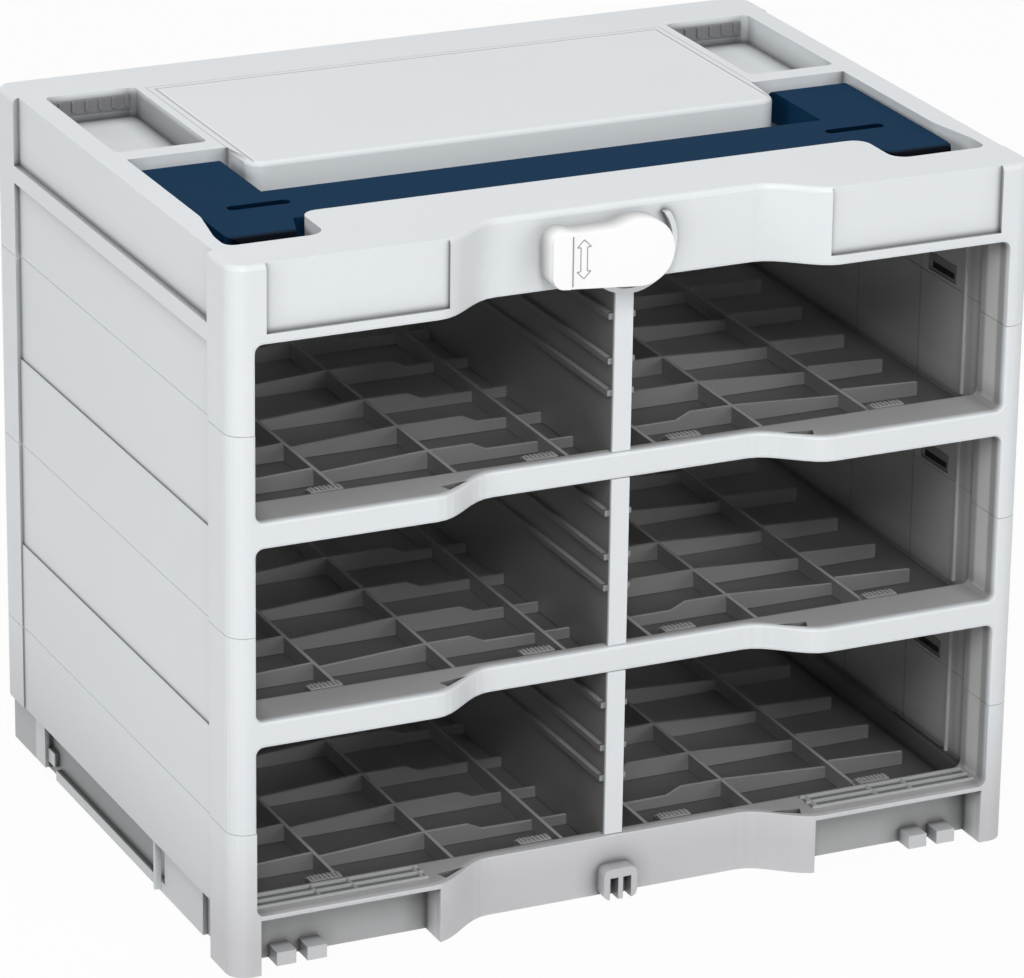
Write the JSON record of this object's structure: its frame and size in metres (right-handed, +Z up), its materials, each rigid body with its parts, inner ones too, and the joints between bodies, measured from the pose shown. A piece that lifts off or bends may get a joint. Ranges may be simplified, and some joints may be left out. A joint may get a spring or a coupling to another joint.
{
  "type": "drawer rack for small parts",
  "caption": "Stackable parts rack with open drawer bays in stacked rows, ribbed floors, a folding carry handle and a turning front latch.",
  "frame": {"origin": "under the middle of the footprint, on the standing plane", "axes": "+Z up, -Y out of the open front, +X to the right seen from the front"},
  "size_m": [0.396, 0.296, 0.337],
  "materials": {
    "shell": "fine satin light grey",
    "inner": "fine satin grey",
    "handle": "satin dark blue",
    "pin": "plain steel",
    "latch": "fine grained white"
  },
  "bodies": {
    "rack": {"base_frame": "shell", "lower_frame": "shell", "upper_frame": "shell", "top_cover": "shell", "centre_wall_low": "shell", "centre_wall_mid": "shell", "centre_wall_top": "shell", "floor_grid_low_left": "inner", "floor_grid_low_right": "inner", "floor_grid_mid_left": "inner", "floor_grid_mid_right": "inner", "floor_grid_top_left": "inner", "floor_grid_top_right": "inner", "drawer_catch_low_left": "inner", "drawer_catch_low_right": "inner", "drawer_catch_mid_left": "inner", "drawer_catch_mid_right": "inner", "drawer_catch_top_left": "inner", "drawer_catch_top_right": "inner", "handle_pin_left": "pin", "handle_pin_right": "pin"},
    "handle": {"carry_handle": "handle"},
    "latch": {"latch_lever": "latch", "latch_spindle": "inner"}
  },
  "joints": [
    {"name": "handle_fold", "type": "hinge", "parent": "rack", "child": "handle", "pos_m": [0, 0.0025, 0.3265], "axis": [-1, 0, 0], "range_deg": [0, 95]},
    {"name": "latch_turn", "type": "hinge", "parent": "rack", "child": "latch", "pos_m": [0, -0.1345, 0.3185], "axis": [0, 1, 0], "range_deg": [-90, 90]}
  ]
}
